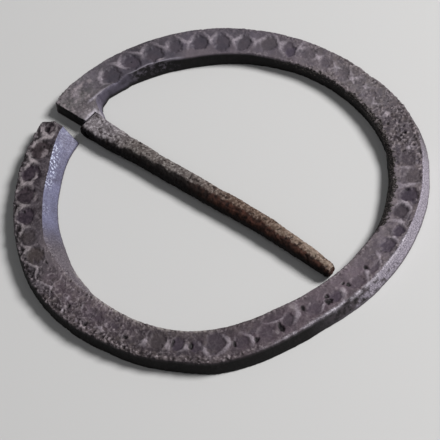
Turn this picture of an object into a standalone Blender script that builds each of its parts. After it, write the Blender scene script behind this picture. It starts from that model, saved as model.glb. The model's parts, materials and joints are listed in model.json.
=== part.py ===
"""Annular brooch: a flat cast ring, broken at its hinge, with a round pin on the broken neck.

Blender 4.5, metres, +Z up. The ring lies on its flat underside at z = 0, the pin runs along +X from
its hinge to its tip, and the origin is under the middle of the brooch's box. Lengths below are in
millimetres and angles in degrees, counter-clockwise from +X seen from above.
"""

import math

import bmesh
import bpy
from mathutils import Vector

MM = 0.001

# Ring: plan. Its outer and inner top edges are hand-worked circles: each wave is
# (waves in a turn, height in mm, azimuth phase in degrees).
RING_CENTRE = (0.35, 0.33)
MIDDLE_RADIUS = 27.5
OUTER_RADIUS = 29.93
OUTER_WAVES = ((1, 0.14, 225), (2, 0.10, 244), (3, 0.54, 129), (4, 0.17, 192), (5, 0.14, 147), (6, 0.13, 37))
INNER_RADIUS = 25.06
INNER_WAVES = ((1, 0.30, 212), (2, 0.36, 79), (3, 0.42, 151), (4, 0.19, 118), (5, 0.12, 116))

# Ring: section.
THICKNESS = 2.4
EDGE_ROUND = 0.28
OUTER_BATTER = 0.20
OUTER_BATTER_EXTRA = 0.45
OUTER_BATTER_MIDDLE = 30.0
OUTER_BATTER_SPREAD = 75.0
INNER_BEVEL = 1.95
INNER_BEVEL_FADE = (-75.0, -110.0)

# Ring: the two broken ends, cut square to the gap. The hinge side is the upper end.
UPPER_END_Y = -2.0
LOWER_END_Y = -4.75
UPPER_END_TAPER = 0.75
LOWER_END_CHIP = 1.8
LOWER_END_CHIP_LENGTH = 1.1
SQUARING_UPPER = (150.0, 172.0)
SQUARING_LOWER = (-145.0, -168.0)

# Ring: one row of round punched cells, nearly touching, numbered from the hinge end.
CELL_COUNT = 47
CELL_PHASE_AT_ZERO = 23.66
CELL_PITCH = 7.293
CELL_WAVES = ((1, 0.66, 286), (2, 0.26, 117), (3, 0.13, 59))
CELL_DEPTH = 0.26
CELL_ROW = 0.43
CELL_HALF_LENGTH = 0.46
CELL_HALF_WIDTH = 0.31
ACROSS_TOP = (0.14, 0.27, 0.42, 0.57, 0.72)
WORN_PLACES = ((62.0, 16.0), (-96.0, 18.0))
STATIONS_PER_CELL = 6
END_STATION_STEP = 1.2

# Hinge: the axis runs along Y through the ring's narrowed, broken neck.
HINGE_X = -22.4
HINGE_Z = 1.35
GAP = 0.3
NECK_RADIUS = 0.42
NECK_ROOT_Y = 0.85
NECK_TIP_Y = -3.2
EYE_RADIUS = 1.25
EYE_NEAR_Y = -3.4
EYE_FAR_Y = 0.08
EYE_CHAMFER = 0.15
LUG_Y = EYE_FAR_Y + GAP
LUG_STEP = 0.08
LUG_LENGTH = 1.9
LUG_TIP_X = -21.5
LUG_ROOT_X = -24.0
LUG_START_Y = 8.0
LUG_TOP_Z = 2.0
LIP_Z = 2.2
ROUND_SIDES = 24

# Pin: (distance from the hinge axis, middle, half width, half height) along the shank, whose
# section is a rounded square; the middle is along Y.
PIN_SECTIONS = (
    (0.35, -1.66, 1.60, 0.90),
    (1.6, -1.70, 1.76, 1.08),
    (4.0, -1.80, 1.88, 1.26),
    (7.0, -1.75, 1.74, 1.28),
    (10.0, -1.68, 1.56, 1.28),
    (14.0, -1.67, 1.49, 1.28),
    (22.0, -1.52, 1.47, 1.28),
    (28.0, -1.33, 1.45, 1.28),
    (33.0, -1.32, 1.38, 1.26),
    (37.0, -1.50, 1.27, 1.24),
    (41.0, -1.74, 1.22, 1.20),
    (43.8, -2.00, 1.10, 1.12),
    (45.0, -2.12, 0.95, 0.98),
    (45.65, -2.20, 0.62, 0.65),
)
PIN_SQUARENESS = 2.6
PIN_SIDES = 16
PIN_STATIONS = 26


def clear_scene():
    for item in list(bpy.data.objects):
        bpy.data.objects.remove(item, do_unlink=True)


def make_material(name, colour, roughness, metallic):
    material = bpy.data.materials.new(name)
    material.use_nodes = True
    shader = material.node_tree.nodes["Principled BSDF"]
    shader.inputs["Base Color"].default_value = (*colour, 1.0)
    shader.inputs["Roughness"].default_value = roughness
    shader.inputs["Metallic"].default_value = metallic
    return material


def smooth_step(low, high, value):
    """0 at low, 1 at high, smooth between them; low may be above high."""
    share = min(max((value - low) / (high - low), 0.0), 1.0)
    return share * share * (3.0 - 2.0 * share)


def bump(value, middle, spread):
    """1 at middle, falling smoothly to near 0 at two spreads away."""
    return math.exp(-(((value - middle) / spread) ** 2))


def turn_between(first, second):
    """The signed angle from second to first, within half a turn."""
    return (first - second + 180.0) % 360.0 - 180.0


def sum_waves(azimuth, waves):
    return sum(height * math.cos(math.radians(count * azimuth - phase)) for count, height, phase in waves)


def azimuth_at_y(y):
    """The azimuth, on the ring's left side, where its middle circle is at this height in plan."""
    return 180.0 + math.degrees(math.asin(-y / MIDDLE_RADIUS))


UPPER_END = azimuth_at_y(UPPER_END_Y)
LOWER_END = azimuth_at_y(LOWER_END_Y) - 360.0


def plane_turn(azimuth):
    """How far a section's plane is turned from radial: both ends are cut parallel to X."""
    upper = (180.0 - azimuth) * smooth_step(*SQUARING_UPPER, azimuth)
    lower = (-180.0 - azimuth) * smooth_step(*SQUARING_LOWER, azimuth)
    return upper + lower


def cell_phase(azimuth):
    """Counts the ridges between cells: a whole number on each ridge, a half in each cell."""
    return CELL_PHASE_AT_ZERO - azimuth / CELL_PITCH + sum_waves(azimuth, CELL_WAVES)


def cell_depth(azimuth, across):
    """Depth of the punched row at a share of the way from the outer to the inner edge."""
    phase = cell_phase(azimuth)
    if not 0.0 <= phase <= CELL_COUNT:
        return 0.0
    along = (phase - math.floor(phase) - 0.5) / CELL_HALF_LENGTH
    side = (across - CELL_ROW) / CELL_HALF_WIDTH
    worn = sum(bump(turn_between(azimuth, middle), 0.0, spread) for middle, spread in WORN_PLACES)
    dish = 1.0 - smooth_step(0.55, 1.12, math.hypot(along, side))
    return CELL_DEPTH * dish * (1.0 - 0.75 * min(worn, 1.0))


def outer_top(azimuth):
    radius = OUTER_RADIUS + sum_waves(azimuth, OUTER_WAVES)
    radius -= UPPER_END_TAPER * smooth_step(177.0, UPPER_END, azimuth)
    if azimuth < SQUARING_LOWER[0]:
        inward = 1.0 - (LOWER_END_Y - plan_y(azimuth)) / LOWER_END_CHIP_LENGTH
        radius -= LOWER_END_CHIP * min(max(inward, 0.0), 1.0)
    return radius


def outer_batter(azimuth):
    """How far the foot of the outer side stands out past the top edge."""
    return OUTER_BATTER + OUTER_BATTER_EXTRA * bump(
        turn_between(azimuth, OUTER_BATTER_MIDDLE), 0.0, OUTER_BATTER_SPREAD
    )


def plan_y(azimuth):
    """Height in plan of the middle circle at this azimuth."""
    return MIDDLE_RADIUS * math.sin(math.radians(azimuth))


def inner_top(azimuth):
    """The top's inner edge; at the hinge end it comes in to the lip of the hollow for the pin's eye."""
    radius = INNER_RADIUS + sum_waves(azimuth, INNER_WAVES)
    if azimuth < SQUARING_UPPER[0]:
        return radius
    lip = hollow_radius(LIP_Z)
    return radius + (lip - radius) * smooth_step(LUG_Y + LUG_LENGTH, LUG_Y, plan_y(azimuth))


def hollow_radius(height):
    """Radius, along X, of the hollow's wall about the hinge axis at this height."""
    reach = EYE_RADIUS + GAP
    return math.sqrt(reach**2 - (height - HINGE_Z) ** 2) - HINGE_X


def inner_side(azimuth):
    """Radii and heights down the inner side: top, middle and foot."""
    top = inner_top(azimuth)
    foot = top - INNER_BEVEL * smooth_step(*INNER_BEVEL_FADE, azimuth)
    heights = [THICKNESS - EDGE_ROUND, THICKNESS / 2, EDGE_ROUND]
    if azimuth < SQUARING_UPPER[0]:
        return [top, (top + foot) / 2, foot], heights
    return lug_side(azimuth, top, heights)


def lug_side(azimuth, top, heights):
    """The inner side at the hinge end: it swells into the lug that carries the neck, and past the lug
    it is hollowed to clear the pin's eye."""
    y = plan_y(azimuth)
    if y > LUG_Y - LUG_STEP / 2:
        swell = smooth_step(LUG_START_Y, LUG_Y + LUG_LENGTH, y)
        foot = top + swell * (-LUG_ROOT_X - top)
        foot += (LUG_ROOT_X - LUG_TIP_X) * smooth_step(LUG_Y + LUG_LENGTH, LUG_Y, y)
        top_z = heights[0] + swell * (LUG_TOP_Z - heights[0])
        return [foot + (1.0 - swell) * (top - foot), foot, foot], [top_z, THICKNESS / 2, EDGE_ROUND]
    levels = [LIP_Z, HINGE_Z, EDGE_ROUND]
    return [hollow_radius(level) for level in levels], levels


def ring_profile(azimuth):
    """The section at this azimuth as (radius, height) pairs, once round from the underside's outer edge."""
    outer = outer_top(azimuth)
    foot = outer + outer_batter(azimuth)
    inner = inner_top(azimuth)
    radii, levels = inner_side(azimuth)
    points = [
        (foot - EDGE_ROUND, 0.0),
        (foot, EDGE_ROUND),
        (outer + 0.04, THICKNESS - EDGE_ROUND),
        (outer - EDGE_ROUND, THICKNESS),
    ]
    for across in ACROSS_TOP:
        radius = outer + across * (inner - outer)
        points.append((radius, THICKNESS - cell_depth(azimuth, across)))
    points.append((inner + EDGE_ROUND, THICKNESS))
    points.extend(zip(radii, levels))
    points.append((radii[-1] + EDGE_ROUND, 0.0))
    return points


def ring_stations():
    """Azimuths from the hinge end round to the other end, closer where the lug changes shape."""
    lug_shares = (0.0, 0.15, 0.3, 0.5, 0.7, 0.85, 1.0)
    hinge_end = [UPPER_END, azimuth_at_y(-0.8), azimuth_at_y(LUG_Y - LUG_STEP)]
    hinge_end += [azimuth_at_y(LUG_Y + LUG_LENGTH * share) for share in lug_shares]
    chip_start = azimuth_at_y(LOWER_END_Y - LOWER_END_CHIP_LENGTH) - 360.0
    first = hinge_end[-1] - END_STATION_STEP
    last = chip_start + END_STATION_STEP
    count = round((first - last) / CELL_PITCH * STATIONS_PER_CELL)
    plain = [first + (last - first) * index / count for index in range(count + 1)]
    return hinge_end + plain + [chip_start, LOWER_END]


def ring_point(azimuth, radius, height):
    middle = math.radians(azimuth)
    heading = math.radians(azimuth + plane_turn(azimuth))
    reach = radius - MIDDLE_RADIUS
    x = RING_CENTRE[0] + MIDDLE_RADIUS * math.cos(middle) + reach * math.cos(heading)
    y = RING_CENTRE[1] + MIDDLE_RADIUS * math.sin(middle) + reach * math.sin(heading)
    return (x * MM, y * MM, height * MM)


def add_object(name, bm, material):
    """Writes a closed bmesh as a smooth-shaded object with outward faces."""
    bmesh.ops.recalc_face_normals(bm, faces=bm.faces)
    mesh = bpy.data.meshes.new(name)
    bm.to_mesh(mesh)
    bm.free()
    mesh.shade_smooth()
    mesh.set_sharp_from_angle(angle=math.radians(35))
    mesh.materials.append(material)
    item = bpy.data.objects.new(name, mesh)
    bpy.context.scene.collection.objects.link(item)
    return item


def cap(bm, loop):
    """Closes a section with a fan about its middle, so that no face is long and thin."""
    middle = bm.verts.new(sum((corner.co for corner in loop), Vector()) / len(loop))
    for corner, after in zip(loop, loop[1:] + loop[:1]):
        bm.faces.new((corner, after, middle))


def loft(bm, sections):
    """Skins closed sections of equal length, in order, and caps both ends."""
    loops = [[bm.verts.new(point) for point in section] for section in sections]
    for first, second in zip(loops, loops[1:]):
        for index, corner in enumerate(first):
            after = (index + 1) % len(first)
            bm.faces.new((corner, first[after], second[after], second[index]))
    cap(bm, loops[0])
    cap(bm, loops[-1])


def hinge_round(radius, low_y, high_y, chamfer):
    """A round bar along the hinge axis, chamfered at both ends, as a bmesh about its own middle line."""
    bm = bmesh.new()
    levels = (low_y, low_y + chamfer, high_y - chamfer, high_y)
    sizes = (radius - chamfer, radius, radius, radius - chamfer)
    sections = []
    for y, size in zip(levels, sizes):
        angles = [math.tau * side / ROUND_SIDES for side in range(ROUND_SIDES)]
        sections.append([(size * math.cos(turn) * MM, y * MM, size * math.sin(turn) * MM) for turn in angles])
    loft(bm, sections)
    return bm


def hinge_point():
    return ((RING_CENTRE[0] + HINGE_X) * MM, RING_CENTRE[1] * MM, HINGE_Z * MM)


def boolean(item, operation, tool):
    """Joins or cuts with a tool, which stays in the file as a hidden guide."""
    tool.hide_render = True
    tool.display_type = "WIRE"
    modifier = item.modifiers.new(tool.name, "BOOLEAN")
    modifier.operation = operation
    modifier.solver = "EXACT"
    modifier.object = tool


def make_ring(metal):
    bm = bmesh.new()
    sections = []
    for azimuth in ring_stations():
        sections.append([ring_point(azimuth, radius, height) for radius, height in ring_profile(azimuth)])
    loft(bm, sections)
    ring = add_object("ring", bm, metal)
    neck = add_object("neck_tool", hinge_round(NECK_RADIUS, NECK_TIP_Y, NECK_ROOT_Y, 0.1), metal)
    neck.location = hinge_point()
    boolean(ring, "UNION", neck)
    return ring


def pin_size(distance):
    """Middle, half width and half height of the shank, eased between the named sections."""
    for near, far in zip(PIN_SECTIONS, PIN_SECTIONS[1:]):
        if distance <= far[0]:
            share = smooth_step(near[0], far[0], distance)
            return [start + share * (end - start) for start, end in zip(near[1:], far[1:])]
    return PIN_SECTIONS[-1][1:]


def pin_distances():
    """Stations along the shank, with the sections at the root and at the blunt tip kept exactly."""
    ends = [section[0] for section in PIN_SECTIONS]
    shank_start, shank_end = ends[1], ends[-3]
    count = PIN_STATIONS
    shank = [shank_start + (shank_end - shank_start) * index / count for index in range(count + 1)]
    return ends[:1] + shank + ends[-2:]


def rounded_square(turn, half_width, half_height):
    """A point on a section between an ellipse and a rectangle."""
    power = 2.0 / PIN_SQUARENESS
    wide = math.copysign(abs(math.cos(turn)) ** power, math.cos(turn))
    high = math.copysign(abs(math.sin(turn)) ** power, math.sin(turn))
    return half_width * wide, half_height * high


def make_pin(metal):
    """The pin's mesh is drawn about the hinge axis, so the object's origin lies on its joint."""
    bm = bmesh.new()
    sections = []
    for distance in pin_distances():
        middle_y, half_width, half_height = pin_size(distance)
        section = []
        for side in range(PIN_SIDES):
            wide, high = rounded_square(math.tau * (side + 0.5) / PIN_SIDES, half_width, half_height)
            section.append((distance * MM, (middle_y + wide) * MM, high * MM))
        sections.append(section)
    loft(bm, sections)
    pin = add_object("pin", bm, metal)
    pin.location = hinge_point()
    eye = add_object("eye_tool", hinge_round(EYE_RADIUS, EYE_NEAR_Y, EYE_FAR_Y, EYE_CHAMFER), metal)
    eye.location = hinge_point()
    bore = add_object("bore_tool", hinge_round(NECK_RADIUS + GAP, EYE_NEAR_Y - 1, EYE_FAR_Y + 1, 0.1), metal)
    bore.location = hinge_point()
    boolean(pin, "UNION", eye)
    boolean(pin, "DIFFERENCE", bore)
    return pin


def build():
    clear_scene()
    ring_metal = make_material("ring_metal", (0.21, 0.19, 0.22), 0.55, 0.55)
    pin_metal = make_material("pin_metal", (0.25, 0.19, 0.15), 0.75, 0.30)
    make_ring(ring_metal)
    make_pin(pin_metal)


build()
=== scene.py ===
"""Annular brooch: the looks of the ring and its pin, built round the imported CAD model.

Lengths are in millimetres from the ring's centre and angles in degrees counter-clockwise from +X,
unless a name ends in _M. The pieces themselves are written in metres, in the frame's own axes.
"""

import contextlib
import json
import math
from types import SimpleNamespace

import bmesh
import bpy
import numpy as np
from mathutils import Matrix, Vector


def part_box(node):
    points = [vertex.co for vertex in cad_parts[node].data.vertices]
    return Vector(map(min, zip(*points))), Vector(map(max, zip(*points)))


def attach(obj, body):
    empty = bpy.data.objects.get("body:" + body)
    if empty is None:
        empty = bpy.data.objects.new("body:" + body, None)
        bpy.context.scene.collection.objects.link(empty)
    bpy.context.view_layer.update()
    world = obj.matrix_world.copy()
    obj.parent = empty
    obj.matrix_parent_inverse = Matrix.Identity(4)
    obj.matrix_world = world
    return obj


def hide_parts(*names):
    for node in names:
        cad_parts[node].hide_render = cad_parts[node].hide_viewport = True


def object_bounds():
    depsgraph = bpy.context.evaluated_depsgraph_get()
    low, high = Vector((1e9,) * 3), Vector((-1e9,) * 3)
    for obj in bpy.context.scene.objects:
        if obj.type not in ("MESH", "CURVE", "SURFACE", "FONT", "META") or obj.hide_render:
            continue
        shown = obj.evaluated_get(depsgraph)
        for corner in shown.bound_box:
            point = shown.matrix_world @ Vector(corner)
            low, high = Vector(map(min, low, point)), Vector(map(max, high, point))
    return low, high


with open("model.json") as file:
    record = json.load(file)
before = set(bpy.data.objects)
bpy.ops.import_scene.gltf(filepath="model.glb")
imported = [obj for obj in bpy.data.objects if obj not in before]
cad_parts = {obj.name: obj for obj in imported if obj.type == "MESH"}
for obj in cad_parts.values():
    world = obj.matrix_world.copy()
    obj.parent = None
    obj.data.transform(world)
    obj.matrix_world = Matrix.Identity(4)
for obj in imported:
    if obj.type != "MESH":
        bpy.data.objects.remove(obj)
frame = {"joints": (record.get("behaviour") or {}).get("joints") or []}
cad_low, cad_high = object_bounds()

MM = 0.001
HINGE_M = [joint for joint in frame["joints"] if joint["name"] == "pin_hinge"][0]["pos_m"]

# Ring, in plan and in section: the same worked outline as the CAD solid. Waves are (count, height, phase).
HINGE_X = -22.4
HINGE_Z = HINGE_M[2] / MM
CENTRE = (HINGE_M[0] / MM - HINGE_X, HINGE_M[1] / MM, 0.0)
MIDDLE_RADIUS = 27.5
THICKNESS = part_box("ring")[1].z / MM
OUTER_RADIUS = 29.93
OUTER_WAVES = ((1, 0.14, 225), (2, 0.1, 244), (3, 0.54, 129), (4, 0.17, 192), (5, 0.14, 147), (6, 0.13, 37))
INNER_RADIUS = 25.06
INNER_WAVES = ((1, 0.3, 212), (2, 0.36, 79), (3, 0.42, 151), (4, 0.19, 118), (5, 0.12, 116))
# How far the foot stands out past the top edge: least, extra, and the azimuth and spread of the extra.
OUTER_BATTER = (0.2, 0.45, 30.0, 75.0)
UPPER_END_Y = -2.0
LOWER_END_Y = -4.75
# Azimuths over which the sections turn square to the two ends.
SQUARING_UPPER = (150.0, 172.0)
SQUARING_LOWER = (-145.0, -168.0)
# What is missing from the ends' outer corners: (depth, first azimuth) and (depth, length).
UPPER_END_NIP = (0.35, 180.5)
LOWER_END_CHIP = (1.8, 1.1)
FOOT_ROUND = 0.14
OUTER_ROUND = 0.2
INNER_ROUND = 0.16

# Hinge: the lug, the hollow that the eye swings in, the neck (radius, root and tip) and the eye's bore.
LUG_FACE_Y = 0.13
LUG_STEP = 0.03
HOLLOW_RADIUS = 1.55
HOLLOW_FOOT = 0.06
NECK = (0.42, 0.22, -3.2)
NECK_STATIONS, NECK_SIDES = 26, 28
BORE_RADIUS = 0.5
BORE_LENGTH = 9
BORE_SIDES = 36
# The relief is weaker beside the eye: inside this x and between these two y.
EYE_SIDE = (-20.5, -2.6, 0.9)
EYE_SIDE_RELIEF = 0.15

# The inner side of the hinge end, along +Y: x of the top edge, of the bevel's foot and of the wall's foot.
HINGE_SIDE = (
    (0.13, -22.62, -21.8, -21.7), (0.5, -22.86, -22.05, -21.92), (0.8, -23.22, -22.52, -22.38),
    (1.2, -23.85, -23.2, -23.08), (1.8, -24.8, -24.15, -24.05), (2.6, -25.25, -24.8, -24.65),
    (4.5, -25.1, -25.05, -25.1), (6.8, -24.6, -24.45, -24.4), (8, -24.6, -24.2, -23.95),
)
HINGE_SIDE_ENDS = (9.5, 7.2)
HINGE_BEVEL = 0.3

# Meshes: stations round the ring, points across its top, and the sides of its section.
RING_STATIONS = 1380
STATION_GAP = 0.06
TOP_POINTS = 43
TOP, OUTER, INNER, UNDER = range(4)
SLIVER = 0.0008

# Corrections to the two top edges and to the inner foot: {azimuth: millimetres}.
OUTER_SHIFT = {
    184: 0.05, 170: 0.08, 150: 0.12, 130: 0.05, 115: 0.05, 100: 0.15, 85: 0.12, 77: -0.08, 70: 0.2,
    60: 0.38, 55: 0.42, 50: 0.38, 45: 0.26, 40: 0.1, 30: 0.08, 20: 0.02, 10: 0.08, 0: 0.2, -5: 0.2,
    -10: 0.08, -15: -0.08, -20: -0.2, -30: -0.12, -40: 0.15, -50: 0.44, -60: 0.02, -70: 0.2, -80: 0.05,
    -90: 0.2, -97: 0.15, -105: 0.05, -110: 0, -120: -0.16, -128: -0.05, -135: 0.02, -145: 0.14, -152: 0.14,
    -160: 0, -168: -0.12,
}
INNER_SHIFT = {
    184: 0, 175: -0.15, 170: -0.22, 166: -0.22, 163: 0.02, 158: 0.15, 153: 0.45, 149: 0.28, 145: 0.28,
    142: 0.15, 138: 0.1, 130: 0.2, 118: 0.3, 105: 0, 95: 0.15, 85: 0.15, 78: 0.1, 70: 0.05, 50: 0,
    45: -0.12, 40: -0.3, 30: -0.38, 25: -0.22, 20: 0, 15: 0.2, 5: 0.26, 0: 0.36, -10: 0.4, -20: 0.22,
    -30: 0, -40: 0.1, -50: 0.25, -60: 0.25, -70: 0.07, -80: -0.15, -90: -0.3, -100: -0.3, -110: -0.2,
    -120: 0, -125: -0.08, -130: -0.2, -135: -0.45, -140: -0.58, -145: -0.7, -152: -0.8, -160: -0.42,
    -168: 0.26,
}
FOOT_SHIFT = {
    184: 0, 165: -0.1, 140: -0.1, 120: 0.1, 60: 0, 50: 0, 44: -0.45, 26: -0.5, 18: -0.1, 0: 0, -80: -0.1,
    -90: -0.6, -95: -0.9, -100: -1.22, -105: -1.32, -110: -1.5, -115: -1.74, -120: -1.92, -130: -2.02,
    -140: -2.17, -150: -2.3, -170: -2.33,
}
# Extra wear of the inner edge: {azimuth: millimetres inward}.
INNER_WEAR = {56: 0, 46: 0.55, 20: 0.5, 12: 0.1, 0: 0, -88: 0, -100: 0.3, -122: 0.3, -130: 0}

# Punched cells: (azimuth, radius, half length, half width, strength, hue from brown to purple).
CELLS = (
    (165.1, 27.4, 1.55, 1.5, 1, 0), (157.3, 27.8, 1.45, 1.5, 1, 0.2), (149.6, 27.7, 1.45, 1.45, 1, 0),
    (142.5, 27.8, 1.2, 1.3, 0.8, 0), (134.4, 27.5, 1.5, 1.45, 1, 0.1), (127.1, 27, 1.45, 1.9, 0.9, 0.1),
    (120.2, 27.05, 1.2, 1.75, 0.85, -0.1), (111.9, 27.25, 1.5, 1.55, 0.62, -0.5),
    (105.6, 27.4, 0.95, 1.1, 0.45, 0.3), (103.7, 26.7, 0.9, 1.2, 0.75, 0.9),
    (98.4, 27.2, 1.4, 1.15, 0.38, 0), (91.2, 27.1, 1.2, 1, 0.36, 0.3), (83.9, 27.1, 1.2, 0.95, 0.32, 0.2),
    (77, 27.3, 1, 0.85, 0.25, 0.2), (70.8, 27.2, 1.1, 0.95, 0.25, 0.4), (43.2, 28.1, 1.35, 1.25, 0.5, 0.1),
    (36.7, 28.7, 1.4, 1.4, 0.5, -0.6), (30, 28.4, 1.3, 1.3, 0.9, 0.5), (23.9, 27.7, 1.42, 1.18, 0.8, 0),
    (17, 28.5, 1.2, 0.8, 0.85, 0.7), (11, 28, 1.25, 0.95, 0.65, 0.9), (3.2, 28.3, 1.5, 0.5, 0.5, 0.4),
    (-4.2, 27.8, 1.3, 1, 0.4, 0.5), (-11.6, 27.4, 1.25, 1, 0.55, 1), (-18.6, 27.2, 1.5, 1.3, 0.3, 0.9),
    (-27.5, 26.7, 1, 1.2, 0.6, 0.2), (-31.3, 25.4, 1.9, 0.9, 0.35, 0.2), (-34.5, 27.7, 1.6, 1.3, 0.3, 0.6),
    (-42, 28.1, 1.1, 1.1, 0.4, 0.5), (-49.2, 27.5, 1.45, 1.85, 0.62, 0.2),
    (-54.6, 28.1, 0.95, 1.1, 0.6, 0.6), (-60.1, 27.8, 0.9, 1.25, 0.6, 0.8),
    (-66.2, 27.7, 1.3, 1.5, 0.7, -0.5), (-72.2, 27.9, 1.05, 1.2, 0.35, -0.2),
    (-80.9, 27.2, 1.3, 0.9, 0.35, 0.5), (-87.9, 27.5, 1.7, 1.3, 0.3, 0.5),
    (-109, 27.4, 1.4, 1.1, 0.12, 0.3), (-117.6, 27.8, 1.5, 1.35, 0.8, -0.8),
    (-125, 28, 1.6, 1.25, 0.3, -0.9), (-132.8, 28, 1.6, 1.3, 0.9, 0.4), (-141, 28, 1.6, 1.3, 0.95, 0.1),
    (-149.4, 27.9, 1.6, 1.35, 1, 0.3), (-158.9, 27.7, 1.8, 1.4, 1, -0.2), (-167, 28, 1.1, 0.9, 1, 0),
)
CELL_POWER = 2.4
CELL_DEPTH = 0.22
RIM_HEIGHT = 0.1
# Degrees to either side in which a cell, a ridge's arm or a spot is looked for.
CELL_SEARCH, ARM_SEARCH, SPOT_SEARCH = 6.0, 2.5, 8.0

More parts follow.
